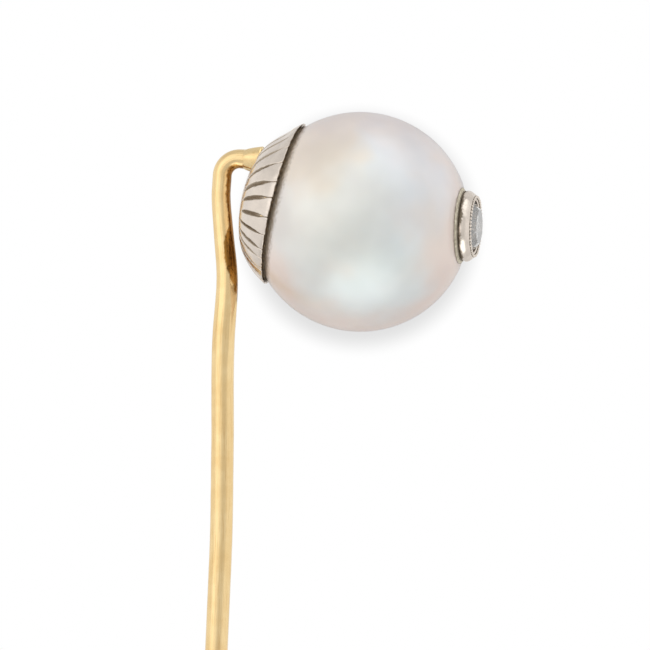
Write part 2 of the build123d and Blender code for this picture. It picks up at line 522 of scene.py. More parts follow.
@dataclass(frozen=True)
class Nacre(Finish):
    """Pearl: cream, rose and cool patches under a soft, broad lustre, with painted glows where the front
    lights' highlights fall, a warmer rim painted darker as shade round the side that faces the front, and
    stain with painted shade round the cap's rim and the collet's foot.
    """

    cream: Colour = (0.81, 0.75, 0.685)
    rose: Colour = (0.82, 0.725, 0.67)
    rim_tint_and_shade: Colour = (0.835, 0.715, 0.63)
    # The colour of stain and painted shade round the cap's rim and the collet.
    stain_and_shade: Colour = (0.27, 0.195, 0.11)
    # The rim round this axis is painted warmer and darker: body colour and painted shade.
    shaded_rim_axis: tuple[float, float, float] = (0.207, -0.975, 0.08)
    tints_and_glows: tuple[OrientTintAndGlow, ...] = (
        # The first three sit where the front lights' soft highlights fall: painted glows, tinted blue,
        # green and cream. The others are orient tints.
        OrientTintAndGlow((0.215, -0.791, -0.572), 0.36, (0.78, 0.84, 0.83), 0.80),
        OrientTintAndGlow((0.435, -0.735, 0.518), 0.42, (0.745, 0.79, 0.83), 0.75),
        OrientTintAndGlow((-0.25, -0.93, 0.22), 0.45, (0.83, 0.81, 0.76), 0.75),
        OrientTintAndGlow((-0.30, -0.68, 0.67), 0.22, (0.84, 0.745, 0.635), 0.95),
        OrientTintAndGlow((0.50, 0.76, 0.42), 0.70, (0.71, 0.76, 0.78), 0.70),
        OrientTintAndGlow((-0.10, 0.86, -0.50), 0.60, (0.74, 0.76, 0.70), 0.70),
        OrientTintAndGlow((0.10, 0.10, 0.98), 0.50, (0.75, 0.69, 0.68), 0.60),
    )
    film: float = 400.0

    def pattern(self, bench: Bench, place: Wire, shader: bpy.types.Node) -> None:
        """Sets the shader up. Args as in Finish."""
        centre, _ = pearl_place()
        out = bench.vector("NORMALIZE", bench.vector("SUBTRACT", place, tuple(centre / MM)))
        drift = bench.noise(place, 0.30, 2.0, 0.5).ramp(0.2, 0.8, -0.22, 0.22)
        broad = bench.noise(place, 0.17, 2.0, 0.5)
        growth = bench.noise(place, 7.0, 3.0, 0.55)
        mottle = bench.noise(place, 0.40, 2.0, 0.5)
        colour = bench.blend(broad.ramp(0.40, 0.62, smooth=True), self.rose, self.cream)
        # Painted shade: a warmer, darker rim round the side that faces the front.
        lit = bench.vector("DOT_PRODUCT", out, self.shaded_rim_axis, out="Value") + drift * 0.5
        colour = bench.blend(lit.ramp(0.90, 0.42, 0.0, 0.95, smooth=True), colour, self.rim_tint_and_shade)
        # Orient tints, and painted glows where the front lights' highlights fall.
        for tint_glow in self.tints_and_glows:
            near = bench.vector("DOT_PRODUCT", out, tint_glow.towards, out="Value") + drift
            share = near.ramp(1 - tint_glow.spread, 1.0, 0.0, tint_glow.strength, smooth=True)
            colour = bench.blend(share, colour, tint_glow.colour)
        # Stain mixed with painted shade and reflection: a brown halo out from the cap's rim, and a darker
        # ring round the collet's foot.
        behind = bench.vector("DOT_PRODUCT", out, tuple(cap_axis()), out="Value")
        front, _, _ = bench.split(out)
        uneven = growth.ramp(0.3, 0.7, -0.012, 0.012)
        stain_and_shade_mask = (behind + uneven).ramp(0.615, 0.680, 0.0, 0.95, smooth=True)
        stain_and_shade_mask = stain_and_shade_mask.at_least((front + uneven * 0.4).ramp(0.928, 0.948, 0.0, 0.45, smooth=True))
        colour = bench.vector("SCALE", colour, mottle.ramp(0.3, 0.7, 0.955, 1.045, smooth=True))
        colour = bench.blend(stain_and_shade_mask * growth.ramp(0.3, 0.7, 0.75, 1.0), colour, self.stain_and_shade)
        self.feed(bench, shader, {
            "Base Color": colour,
            "Metallic": 0.34,
            "Roughness": growth.ramp(0.3, 0.7, 0.34, 0.40),
            "Normal": self.bump(bench, growth, 0.003, 0.4),
            "Subsurface Weight": 0.25,
            "Subsurface Radius": (1.0, 0.8, 0.6),
            "Subsurface Scale": 0.6 * MM,
            "Coat Weight": 0.30,
            "Coat Roughness": 0.30,
            "Coat IOR": 1.5,
            "Thin Film Thickness": self.film,
            "Thin Film IOR": 1.6,
        })


@dataclass(frozen=True)
class OldCement(Finish):
    """Aged jeweller's cement and the grime that sits on it."""

    light: Colour = (0.13, 0.09, 0.045)
    dark: Colour = (0.03, 0.02, 0.01)

    def pattern(self, bench: Bench, place: Wire, shader: bpy.types.Node) -> None:
        """Sets the shader up. Args as in Finish."""
        lumps = bench.noise(place, 6.0, 4.0, 0.7)
        self.feed(bench, shader, {
            "Base Color": bench.blend(lumps.ramp(0.4, 0.7), self.dark, self.light),
            "Roughness": lumps.ramp(0.3, 0.7, 0.5, 0.8),
            "Normal": self.bump(bench, lumps, 0.03, 0.8),
        })


@dataclass(frozen=True)
class FloorPaper(Finish):
    """Off-white paper with a faint tooth."""

    pale: Colour = (0.90, 0.90, 0.90)
    dull: Colour = (0.86, 0.86, 0.86)

    def pattern(self, bench: Bench, place: Wire, shader: bpy.types.Node) -> None:
        """Sets the shader up. Args as in Finish."""
        tooth = bench.noise(place, 1.5, 3.0, 0.6)
        self.feed(bench, shader, {
            "Base Color": bench.blend(tooth.ramp(0.3, 0.7), self.dull, self.pale),
            "Roughness": 0.9,
        })


@dataclass(frozen=True)
class CutStone(Finish):
    """Diamond, with faint polish lines on its facets."""

    tint: Colour = (1.0, 0.985, 0.955)
    index: float = 2.417

    def pattern(self, bench: Bench, place: Wire, shader: bpy.types.Node) -> None:
        """Sets the shader up. Args as in Finish."""
        polish = bench.noise(bench.vector("MULTIPLY", place, (8.0, 60.0, 14.0)), 1.0, 2.0, 0.5)
        self.feed(bench, shader, {
            "Base Color": self.tint,
            "Roughness": polish.ramp(0.4, 0.8, 0.0, 0.03),
            "IOR": self.index,
            "Transmission Weight": 0.80,
        })


# ---------------------------------------------------------------------------------------------
# Mesh work
# ---------------------------------------------------------------------------------------------


@dataclass(frozen=True)
class Mounting:
    """A turning axis, from a centre."""

    centre: Vector
    axis: Vector

    def matrix(self) -> Matrix:
        """The matrix that takes millimetres, with Z along the axis, to the frame's metres.

        Returns:
            The matrix.
        """
        across = Vector((0.0, 0.0, 1.0)).cross(self.axis).normalized()
        up = self.axis.cross(across)
        turned = Matrix((across, up, self.axis)).transposed().to_4x4()
        return Matrix.Translation(self.centre) @ turned @ Matrix.Scale(MM, 4)


def curve_through(start: Point2, middle: Point2, end: Point2, steps: int) -> list[Point2]:
    """Points on the smooth bow from start to end that passes a middle point.

    Args:
        start: the first point, which is left out.
        middle: the point at half way.
        end: the last point.
        steps: how many points.

    Returns:
        The points after start.
    """
    control = tuple(2 * m - (s + e) / 2 for s, m, e in zip(start, middle, end))
    found = []
    for step in range(1, steps + 1):
        t = step / steps
        found.append(tuple(
            (1 - t) ** 2 * s + 2 * t * (1 - t) * c + t * t * e
            for s, c, e in zip(start, control, end)
        ))
    return found


def knot_line(start: Point2, end: Point2, slopes: Point2, share: float) -> float:
    """The smooth line's X between two knots that are X and Z.

    Args:
        start: the lower knot.
        end: the upper knot.
        slopes: how far the line leans at each.
        share: how far up from the lower to the upper.

    Returns:
        The X.
    """
    t = share
    span = end[1] - start[1]
    return (
        (2 * t**3 - 3 * t**2 + 1) * start[0] + (t**3 - 2 * t**2 + t) * span * slopes[0]
        + (3 * t**2 - 2 * t**3) * end[0] + (t**3 - t**2) * span * slopes[1]
    )


def around(points: np.ndarray) -> np.ndarray:
    """Each point's angle about local Z."""
    return np.arctan2(points[:, 1], points[:, 0])


def turned(
    name: str, outline: Sequence[Point2], steps: int, place: Matrix,
    worn: Callable[[np.ndarray], np.ndarray] | None = None,
) -> bpy.types.Object:
    """A closed shape turned about local Z.

    Args:
        name: the piece's name.
        outline: radius and height in millimetres, closed on itself or from axis to axis.
        steps: how many steps round.
        place: the matrix to the frame.
        worn: moves the local points before they are placed.

    Returns:
        The piece, at the origin with its place in its mesh.
    """
    angles = np.arange(steps) * 2 * math.pi / steps
    rings = np.array(outline, float)
    points = np.empty((len(rings), steps, 3))
    points[..., 0] = rings[:, :1] * np.cos(angles)
    points[..., 1] = rings[:, :1] * np.sin(angles)
    points[..., 2] = rings[:, 1:]
    points = points.reshape(-1, 3)
    if worn is not None:
        points = worn(points)
    closed = rings[0][0] > 0
    rows = range(len(rings)) if closed else range(len(rings) - 1)
    faces = [
        (r * steps + k, r * steps + (k + 1) % steps,
         (r + 1) % len(rings) * steps + (k + 1) % steps, (r + 1) % len(rings) * steps + k)
        for r in rows for k in range(steps)
    ]
    mesh = bpy.data.meshes.new(name)
    mesh.from_pydata(points.tolist(), [], faces)
    return finished(name, mesh, place)


def finished(name: str, mesh: bpy.types.Mesh, place: Matrix) -> bpy.types.Object:
    """Merges doubles, turns the faces out, and places the mesh.

    Args:
        name: the piece's name.
        mesh: its mesh, in local millimetres.
        place: the matrix to the frame.

    Returns:
        The piece.
    """
    work = bmesh.new()
    work.from_mesh(mesh)
    bmesh.ops.remove_doubles(work, verts=work.verts, dist=1e-5)
    bmesh.ops.recalc_face_normals(work, faces=work.faces)
    work.to_mesh(mesh)
    work.free()
    mesh.transform(place)
    mesh.update()
    mesh.shade_smooth()
    piece = bpy.data.objects.new(name, mesh)
    bpy.context.scene.collection.objects.link(piece)
    return piece


def sharpen(piece: bpy.types.Object, degrees: float) -> None:
    """Keeps edges sharper than an angle crisp.

    Args:
        piece: the piece.
        degrees: the angle.
    """
    work = bmesh.new()
    work.from_mesh(piece.data)
    limit = math.radians(degrees)
    for edge in work.edges:
        if len(edge.link_faces) == 2:
            edge.smooth = edge.calc_face_angle(0.0) < limit
    work.to_mesh(piece.data)
    work.free()


def hand_in(
    piece: bpy.types.Object, slot: Slot, material: bpy.types.Material, *nodes: str
) -> bpy.types.Object:
    """Dresses a piece and lets it stand for CAD nodes.

    Args:
        piece: the piece.
        slot: its material slot.
        material: its finish.
        nodes: the CAD nodes that it replaces.

    Returns:
        The piece.
    """
    piece.data.materials.clear()
    piece.data.materials.append(material)
    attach(piece, BODY)
    if nodes:
        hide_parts(*nodes)
    LOG.info("%s: %d faces, slot %s", piece.name, len(piece.data.polygons), slot.value)
    return piece


class Recipe:
    """A Geometry Nodes tree with named inputs, run once and turned into a plain mesh."""

    def __init__(self, name: str) -> None:
        """Starts an empty tree.

        Args:
            name: the tree's name.
        """
        self.tree = bpy.data.node_groups.new(name, "GeometryNodeTree")
        self.bench = Bench(self.tree)
        self.identifiers: dict[str, str] = {}
        self.values: dict[str, object] = {}
        self.tree.interface.new_socket("Geometry", in_out="INPUT", socket_type="NodeSocketGeometry")
        self.tree.interface.new_socket("Geometry", in_out="OUTPUT", socket_type="NodeSocketGeometry")
        self.entry = self.tree.nodes.new("NodeGroupInput")
        self.exit = self.tree.nodes.new("NodeGroupOutput")

    def asks(self, name: str, value: object, kind: str = "NodeSocketFloat") -> Wire:
        """Adds a named input.

        Args:
            name: its name.
            value: what this run gives it.
            kind: its socket type.

        Returns:
            The input's wire.
        """
        made = self.tree.interface.new_socket(name, in_out="INPUT", socket_type=kind)
        self.identifiers[name] = made.identifier
        self.values[name] = value
        return self.bench.out(self.entry, made.identifier)

    def geometry(self) -> Wire:
        """What the tree is given to work on."""
        return self.bench.out(self.entry, 0)

    def run(self, name: str, geometry: Wire, base: bpy.types.ID, place: Matrix) -> bpy.types.Object:
        """Ends the tree, runs it and keeps its result as a plain mesh.

        Args:
            name: the piece's name.
            geometry: the tree's last geometry.
            base: the mesh or curve that it starts from.
            place: the matrix to the frame.

        Returns:
            The piece.
        """
        bench = self.bench
        material = self.asks("Material", bpy.data.materials.new(name + "_blank"), "NodeSocketMaterial")
        real = bench.add("GeometryNodeRealizeInstances", {"Geometry": geometry})
        painted = bench.add(
            "GeometryNodeSetMaterial", {"Geometry": bench.out(real), "Material": material}
        )
        self.tree.links.new(painted.outputs[0], self.exit.inputs[0])
        holder = bpy.data.objects.new(name + "_holder", base)
        bpy.context.scene.collection.objects.link(holder)
        modifier = holder.modifiers.new(self.tree.name, "NODES")
        modifier.node_group = self.tree
        for key, identifier in self.identifiers.items():
            modifier[identifier] = self.values[key]
        bpy.context.view_layer.update()
        graph = bpy.context.evaluated_depsgraph_get()
        mesh = bpy.data.meshes.new_from_object(holder.evaluated_get(graph), depsgraph=graph)
        holder.modifiers.clear()
        bpy.data.objects.remove(holder)
        mesh.name = name
        return finished(name, mesh, place)


def store(bench: Bench, geometry: Wire, attribute: Attribute, value: Wire, kind: str = "FLOAT") -> Wire:
    """Keeps a value on the geometry's points.

    Args:
        bench: the tree.
        geometry: the geometry.
        attribute: the name that it is kept under.
        value: the value.
        kind: its data type.

    Returns:
        The geometry that carries it.
    """
    node = bench.add(
        "GeometryNodeStoreNamedAttribute",
        {"Geometry": geometry, "Name": attribute.value, "Value": value},
        data_type=kind,
    )
    return bench.out(node)


def chance(bench: Bench, number: Wire, low: float, high: float, seed: int) -> Wire:
    """A fixed random value for each number.

    Args:
        bench: the tree.
        number: what it is drawn for.
        low: its least value.
        high: its greatest.
        seed: the draw.

    Returns:
        The value's wire.
    """
    node = bench.add(
        "FunctionNodeRandomValue",
        {"Min_001": low, "Max_001": high, "ID": number, "Seed": seed},
        data_type="FLOAT",
    )
    return bench.out(node, "Value_001")


# ---------------------------------------------------------------------------------------------
# The pin
# ---------------------------------------------------------------------------------------------


@dataclass(frozen=True)
class Flat:
    """A filed flat on the neck."""

    towards: tuple[float, float, float]
    depth: float
    starts: float
    whole_from: float
    whole_to: float
    ends: float


@dataclass
class Stem:
    """The gold wire: a long point, a straight shank, a swaying neck, a tight bend and a foot."""

    shank_radius: float = 0.50
    point_length: float = 8.0
    point_swell: float = 0.86
    tip_radius: float = 0.045
    tip_height: float = 0.08
    neck_radius: float = 0.42
    foot_radius: float = 0.525
    foot_end: float = 1.16
    foot_height: float = 17.555
    foot_rise: float = -0.025
    bend_start: Point2 = (-0.67, 16.78)
    sway: tuple[Point2, ...] = (
        (-0.12, 4.8), (-0.29, 9.6), (-0.24, 12.2), (-0.48, 14.2), (-0.675, 15.8)
    )
    upright_at: int = 2
    thins: Point2 = (9.6, 16.4)
    knot_gap: float = 0.5
    point_steps: int = 20
    sway_steps: int = 30
    bend_steps: int = 24
    foot_steps: int = 16
    end_cap: float = 0.001
    least_facing: float = 0.3
    filed: tuple[Flat, ...] = (
        Flat((0.80, -0.60, 0.0), 0.90, 10.9, 12.2, 13.2, 14.3),
        Flat((0.99, -0.10, 0.0), 0.97, 10.6, 12.0, 15.2, 16.8),
        Flat((0.45, -0.89, 0.0), 0.965, 7.8, 9.6, 12.0, 13.6),
        Flat((-0.75, -0.66, 0.0), 0.985, 8.6, 10.5, 15.4, 16.9),
        Flat((-0.25, -0.97, 0.0), 0.975, 9.4, 11.6, 15.0, 16.6),
        Flat((0.90, 0.43, 0.0), 0.95, 9.0, 11.0, 14.5, 16.0),
        Flat((-0.20, 0.98, 0.0), 0.95, 9.0, 11.0, 15.0, 16.6),
    )
    sides: int = 72
    finish: WornGold = field(default_factory=lambda: WornGold("worn_gold"))

    def shank(self) -> list[tuple[float, float, float]]:
        """The wire's line from its tip to the top of its straight shank.

        Returns:
            X, Z and radius of each knot.
        """
        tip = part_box("stem")[0].z / MM
        top = tip + self.point_length
        knots = [(0.0, tip, 0.0), (0.0, tip + self.tip_height / 4, self.tip_radius * 0.7),
                 (0.0, tip + self.tip_height, self.tip_radius)]
        for step in range(1, self.point_steps + 1):
            share = step / self.point_steps
            height = tip + self.tip_height + (self.point_length - self.tip_height) * share
            grown = (self.shank_radius - self.tip_radius) * share**self.point_swell
            knots.append((0.0, height, self.tip_radius + grown))
        heights = np.arange(top + self.knot_gap, self.knot_gap / 5, self.knot_gap)
        knots += [(0.0, z, self.shank_radius) for z in heights]
        return knots

    def thickness(self, z: float) -> float:
        """The wire's radius at a height of the neck.

        Args:
            z: the height.

        Returns:
            The radius, which eases from the shank's to the neck's.
        """
        low, high = self.thins
        share = min(max((z - low) / (high - low), 0.0), 1.0)
        share = share * share * (3 - 2 * share)
        return self.shank_radius + (self.neck_radius - self.shank_radius) * share

    def neck(self) -> list[tuple[float, float, float]]:
        """The swaying neck, up to where the bend starts.

        Returns:
            X, Z and radius of each point.
        """
        knots = [(0.0, 0.0), *self.sway, self.bend_start]
        slopes = [0.0] * len(knots)
        for k in range(1, len(knots) - 1):
            (low_x, low_z), (high_x, high_z) = knots[k - 1], knots[k + 1]
            if k != self.upright_at:
                slopes[k] = (high_x - low_x) / (high_z - low_z)
        found = []
        for k, (start, end) in enumerate(zip(knots, knots[1:])):
            for step in range(1, self.sway_steps + 1):
                share = step / self.sway_steps
                x = knot_line(start, end, (slopes[k], slopes[k + 1]), share)
                z = start[1] + (end[1] - start[1]) * share
                found.append((x, z, self.thickness(z)))
        return found

    def bend(self) -> list[tuple[float, float, float]]:
        """The bend and the foot.

        Returns:
            X, Z and radius of each point.
        """
        x, z = self.bend_start
        turn = self.foot_height - z
        found = []
        for step in range(1, self.bend_steps + 1):
            angle = math.pi / 2 * step / self.bend_steps
            found.append((x + turn * (1 - math.cos(angle)), z + turn * math.sin(angle), self.neck_radius))
        start = x + turn
        for step in range(1, self.foot_steps + 1):
            share = step / self.foot_steps
            found.append((start + (self.foot_end - start) * share,
                          self.foot_height + self.foot_rise * share,
                          self.neck_radius + (self.foot_radius - self.neck_radius) * share**1.5))
        found.append((self.foot_end + self.end_cap, self.foot_height + self.foot_rise, 0.0))
        return found

    def line(self) -> bpy.types.Curve:
        """The wire's line as a poly curve with a radius at each point.

        Returns:
            The curve, in metres.
        """
        knots = self.shank() + self.neck() + self.bend()
        curve = bpy.data.curves.new("stem_line", "CURVE")
        curve.dimensions = "3D"
        spline = curve.splines.new("POLY")
        spline.points.add(len(knots) - 1)
        for point, (x, z, radius) in zip(spline.points, knots):
            point.co = (x, 0.0, z, 1.0)
            point.radius = radius
        return curve

    def build(self) -> bpy.types.Object:
        """Sweeps the wire along its line, and files its neck where the maker did.

        Returns:
            The piece.
        """
        recipe = Recipe("stem_wire")
        bench = recipe.bench
        sides = recipe.asks("Sides", self.sides, "NodeSocketInt")
        seed = recipe.asks("Seed", 5, "NodeSocketInt")
        length = bench.out(bench.add("GeometryNodeSplineParameter", {}), "Length")
        heart = bench.out(bench.add("GeometryNodeInputPosition", {}))
        line = store(bench, recipe.geometry(), Attribute.ALONG, length)
        line = store(bench, line, Attribute.HEART, heart, "FLOAT_VECTOR")
        ring = bench.add("GeometryNodeCurvePrimitiveCircle", {"Resolution": sides, "Radius": 1.0})
        round_it = store(bench, bench.out(ring), Attribute.ROUND, heart, "FLOAT_VECTOR")
        radius = bench.out(bench.add("GeometryNodeInputRadius", {}))
        swept = bench.add(
            "GeometryNodeCurveToMesh",
            {"Curve": line, "Profile Curve": round_it, "Scale": radius, "Fill Caps": False},
        )
        place = bench.out(bench.add("GeometryNodeInputPosition", {}))
        centre = bench.out(bench.add(
            "GeometryNodeInputNamedAttribute", {"Name": Attribute.HEART.value},
            data_type="FLOAT_VECTOR",
        ))
        out = bench.vector("SUBTRACT", place, centre)
        unit = bench.vector("NORMALIZE", out)
        ux, uy, uz = bench.split(unit)
        x, _, z = bench.split(centre)
        shrink = self.flats(ux, uy, uz, z)
        lumps = bench.noise(bench.vector("ADD", place, bench.join(seed, 0.0, 0.0)), 1.3, 2.0, 0.5)
        factor = shrink * lumps.ramp(0.2, 0.8, 0.985, 1.0)
        moved = bench.vector("ADD", centre, bench.vector("SCALE", out, factor))
        # Tarnish with painted shade and a painted dark reflection, kept on the mesh for the finish.
        stain_and_shade = self.tarnish_and_shade(bench, place, ux, uy, uz, x, z)
        with_stain_and_shade = store(bench, bench.out(swept), Attribute.TARNISH_AND_SHADE, stain_and_shade)
        filed = bench.add("GeometryNodeSetPosition", {"Geometry": with_stain_and_shade, "Position": moved})
        piece = recipe.run("stem_wire", bench.out(filed), self.line(), Matrix.Scale(MM, 4))
        return hand_in(piece, Slot.GOLD, self.finish.material(), "stem")

    def flats(self, ux: Wire, uy: Wire, uz: Wire, z: Wire) -> Wire:
        """How far each place is filed in, as a share of the wire's radius.

        Args:
            ux: the outward direction's X.
            uy: its Y.
            uz: its Z.
            z: the wire's height there.

        Returns:
            The share of the radius that is left.
        """
        left: Wire | float = 1.0
        for flat in self.filed:
            dx, dy, dz = flat.towards
            facing = (ux * dx) + (uy * dy) + (uz * dz)
            strength = z.ramp(flat.starts, flat.whole_from, smooth=True)
            strength = strength * z.ramp(flat.whole_to, flat.ends, 1.0, 0.0, smooth=True)
            limit = strength.ramp(0.0, 1.0, 1.0, flat.depth)
            left = (limit / facing.at_least(self.least_facing)).at_most(left)
        return left

    @staticmethod
    def tarnish_and_shade(bench: Bench, place: Wire, ux: Wire, uy: Wire, uz: Wire, x: Wire, z: Wire) -> Wire:
        """Where the wire is painted amber: on the neck's side by the cap, a painted dark reflection of
        the cap, and inside and under the bend, tarnish with painted shade.

        Args:
            bench: the tree.
            place: the point.
            ux: the outward direction's X.
            uy: its Y.
            uz: its Z.
            x: the wire's X there.
            z: its height.

        Returns:
            How much of it there is.
        """
        ragged = bench.noise(place, 3.2, 4.0, 0.65).ramp(0.25, 0.75, -0.16, 0.16)
        # The neck's side by the cap: a painted dark reflection of the cap.
        inward = (ux * 0.978) + (uy * 0.208) + ragged
        edge = z.ramp(16.6, 14.9, 0.46, 0.60, smooth=True)
        edge = edge - z.ramp(14.9, 13.6, 0.0, 0.76, smooth=True)
        edge = edge + z.ramp(13.1, 11.2, 0.0, 1.11, smooth=True)
        side = (inward - edge).ramp(0.0, 0.10, smooth=True) * z.ramp(17.3, 16.9, 0.0, 1.0)
        # Inside and under the bend: tarnish with painted shade.
        bend = (uz * -0.80 + ux * 0.60 + ragged).ramp(0.42, 0.62, smooth=True)
        bend = bend * z.ramp(16.5, 16.9, smooth=True) * x.ramp(0.9, 1.05, 1.0, 0.4)
        return side.at_least(bend) * z.ramp(10.8, 11.4)


@dataclass
class SolderJoint:
    """The pale solder that joins the foot to the cap, with its cheeks drawn in."""

    foot_height: float = 17.54
    foot_start: float = -0.06
    start: Point2 = (0.425, 0.36)
    cheek: Point2 = (0.535, 0.70)
    end: Point2 = (0.615, 1.18)
    inside: tuple[Point2, ...] = ((0.36, 1.20), (0.36, 0.36))
    shrunk: float = 0.985
    bow_steps: int = 14
    steps: int = 72
    # Below the given height the solder is painted darker, as shade under the joint.
    finish: WornGold = field(default_factory=lambda: WornGold(
        "solder_gold", light=(0.94, 0.72, 0.385), drawn=False, shaded_below=17.13
    ))

    def worn(self, points: np.ndarray) -> np.ndarray:
        """Makes the cheek uneven, as solder freezes.

        Args:
            points: local points.

        Returns:
            The moved points.
        """
        angle = around(points)
        swell = 1 + 0.02 * np.sin(3 * angle + 0.6) + 0.012 * np.sin(7 * angle)
        points = points.copy()
        points[:, :2] *= swell[:, None] * self.shrunk
        return points

    def build(self) -> bpy.types.Object:
        """Turns the fillet about the foot's line.

        Returns:
            The piece.
        """
        centre = Vector((self.foot_start, 0.0, self.foot_height)) * MM
        place = Mounting(centre, Vector((1.0, 0.0, 0.0))).matrix()
        bow = curve_through(self.start, self.cheek, self.end, self.bow_steps)
        outline = [self.start, *bow, *self.inside]
        piece = turned("solder_joint", outline, self.steps, place, self.worn)
        return hand_in(piece, Slot.SOLDER, self.finish.material(), "stem_solder")


def cap_axis() -> Vector:
    """The cap's axis, out from the pearl's centre.

    Returns:
        The direction.
    """
    axis = Vector((-1.0, 0.0, 0.0))
    axis.rotate(Matrix.Rotation(math.radians(CAP_TILT), 3, "Y"))
    axis.rotate(Matrix.Rotation(math.radians(CAP_TURN), 3, "Z"))
    return axis


def pearl_place() -> tuple[Vector, float]:
    """The pearl's centre and radius, from its solid.

    Returns:
        The centre and the radius, in metres.
    """
    low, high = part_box("pearl")
    radius = (high.z - low.z) / 2
    return Vector((low.x + radius, (low.y + high.y) / 2, (low.z + high.z) / 2)), radius


def front_place() -> Matrix:
    """The matrix from millimetres about the pearl's centre, with Z towards the stone."""
    return Mounting(pearl_place()[0], Vector((1.0, 0.0, 0.0))).matrix()


@dataclass
class FlutedCap:
    """The platinum cap: a dome with tapered cuts, let down over the pearl's back."""

    cuts: int = 30
    columns: int = 20
    rows: int = 96
    outside_share: float = 0.68
    edge_share: float = 0.74
    outline: tuple[Point2, ...] = (
        (0.0, 5.262), (0.65, 5.228), (1.27, 5.122), (1.80, 4.985), (2.30, 4.790), (2.76, 4.480),
        (3.15, 4.095), (3.42, 3.755), (3.638, 3.400),
    )
    rim_inside: Point2 = (3.604, 3.374)
    inside: tuple[Point2, ...] = (
        (3.41, 3.58), (3.20, 3.832), (2.40, 4.380), (1.20, 4.848), (0.0, 4.996)
    )
    widest: float = 4.0
    highest: float = 6.0
    column_nudge: float = 0.001
    cut_start: float = 1.80
    cut_start_spread: float = 0.40
    cut_end: float = 3.62
    cut_width: float = 0.094
    cut_depth: float = 0.20
    cut_drop: float = 0.70
    cut_shift: float = 1.6
    cut_slant: float = 1.0
    slant_about: float = 2.4
    # A cut's width along its length. It steps out at the rim, where the last knot is its nick.
    leaf: tuple[Point2, ...] = (
        (0.0, 0.0), (0.42, 1.0), (0.72, 0.95), (0.88, 0.45), (1.0, 0.15), (1.0, 1.0)
    )
    least_wall: tuple[float, float] = (5.008, 4.957)
    flattening: float = 0.13
    nick_depth: float = 0.022
    rim_lift: float = 3.0
    rim_wear_depth: float = 0.016
    panel_step: float = 0.015
    scar_depth: float = 0.008
    # The cuts' grime colour also paints their shade.
    finish: WhiteMetal = field(default_factory=lambda: WhiteMetal(
        "fluted_platinum", grime=(0.48, 0.405, 0.315), cuts=True
    ))
    # The crevice's cement, by distance from the pearl's centre and degrees off the axis. Its dark browns
    # paint the crevice's shade as well as the cement.
    crevice: tuple[Point2, ...] = (
        (4.79, 36.0), (4.79, 45.9), (4.82, 45.3), (4.86, 44.4), (4.92, 43.8), (4.945, 43.2),
        (4.93, 36.0),
    )
    crevice_steps: int = 240
    # Dark browns that paint the crevice's shade as well as its cement.
    grime: OldCement = field(default_factory=lambda: OldCement(
        "crevice_cement_and_shade", light=(0.26, 0.18, 0.095), dark=(0.05, 0.032, 0.015)
    ))

    def place(self) -> Matrix:
        """The matrix from the cap's own millimetres to the frame.

        Returns:
            The matrix.
        """
        return Mounting(pearl_place()[0], cap_axis()).matrix()

    def profile(self) -> list[tuple[float, float, float]]:
        """The section's knots: share along it, radius, and height.

        Returns:
            The knots.
        """
        last = len(self.outline) - 1
        knots = [(self.outside_share * k / last, r, h) for k, (r, h) in enumerate(self.outline)]
        knots.append((self.edge_share, *self.rim_inside))
        rest = len(self.inside)
        knots += [
            (self.edge_share + (1 - self.edge_share) * (k + 1) / rest, r, h)
            for k, (r, h) in enumerate(self.inside)
        ]
        return knots

    def section(self, bench: Bench, share: Wire, which: int, whole: float) -> Wire:
        """Reads the section's radius or height.

        Args:
            bench: the tree.
            share: how far along the section.
            which: 1 for the radius, 2 for the height.
            whole: the size that the curve's 1 stands for.

        Returns:
            The value in millimetres.
        """
        knots = [(knot[0], knot[which] / whole) for knot in self.profile()]
        return bench.curve(share, knots, self.outside_share - 1e-6) * whole

    def spread_out(self, bench: Bench, about: Wire, cuts: Wire, radius: Wire) -> tuple[Wire, Wire]:
        """Spreads the columns between the cuts, and shifts, leans and lets down each cut.

        Args:
            bench: the tree.
            about: how many cuts round each point lies.
            cuts: how many cuts there are.
            radius: each point's distance from the axis.

        Returns:
            Each point's angle round the axis, and its distance across from its cut.
        """
        number = about.floor().modulo(cuts)
        side = (about.modulo(1.0) - (0.5 + self.column_nudge)) * 2.0
        spread = side.reckon("SIGN") * side.reckon("ABSOLUTE").reckon("POWER", 1.7)
        settle = (side * side).rest()
        shift = chance(bench, number, -self.cut_shift, self.cut_shift, 3) * settle
        slant = chance(bench, number, -self.cut_slant, self.cut_slant, 11) * settle
        slant = slant * (radius - self.slant_about)
        pitch = cuts.share_of(360.0)
        degrees = (about.floor() + 1.0 + spread * 0.5) * pitch + shift + slant
        own_line = (about.floor() + 1.0) * pitch + shift + slant
        across = (degrees - own_line).reckon("ABSOLUTE") * RADIAN * radius
        down = self.place().to_3x3().inverted() @ Vector((0.0, 0.0, -1.0))
        fall = Vector((down.x, down.y)).normalized()
        plain = degrees * RADIAN
        pull = (plain.cos() * fall.y - plain.sin() * fall.x) * self.cut_drop
        return plain + pull / radius.at_least(1.2), across

    def rim_wear(self, bench: Bench, share: Wire, round_x: Wire, round_y: Wire, panel: Wire) -> Wire:
        """How far the rim is worn in between the cuts.

        Args:
            bench: the tree.
            share: how far along the section each point lies.
            round_x: its direction from the axis, X.
            round_y: the same, Y.
            panel: a chance value for the rib that it is on.

        Returns:
            The share of its place that is lost.
        """
        edge = bench.noise(bench.join(round_x * 30.0, round_y * 30.0, 0.0), 1.0, 3.0, 0.6)
        edge = edge.ramp(0.40, 0.75, 0.0, self.rim_wear_depth) + panel * self.panel_step
        edge = edge * share.ramp(self.outside_share - 0.04, self.outside_share)
        return edge * share.ramp(self.edge_share, self.edge_share + 0.05, 1.0, 0.0)

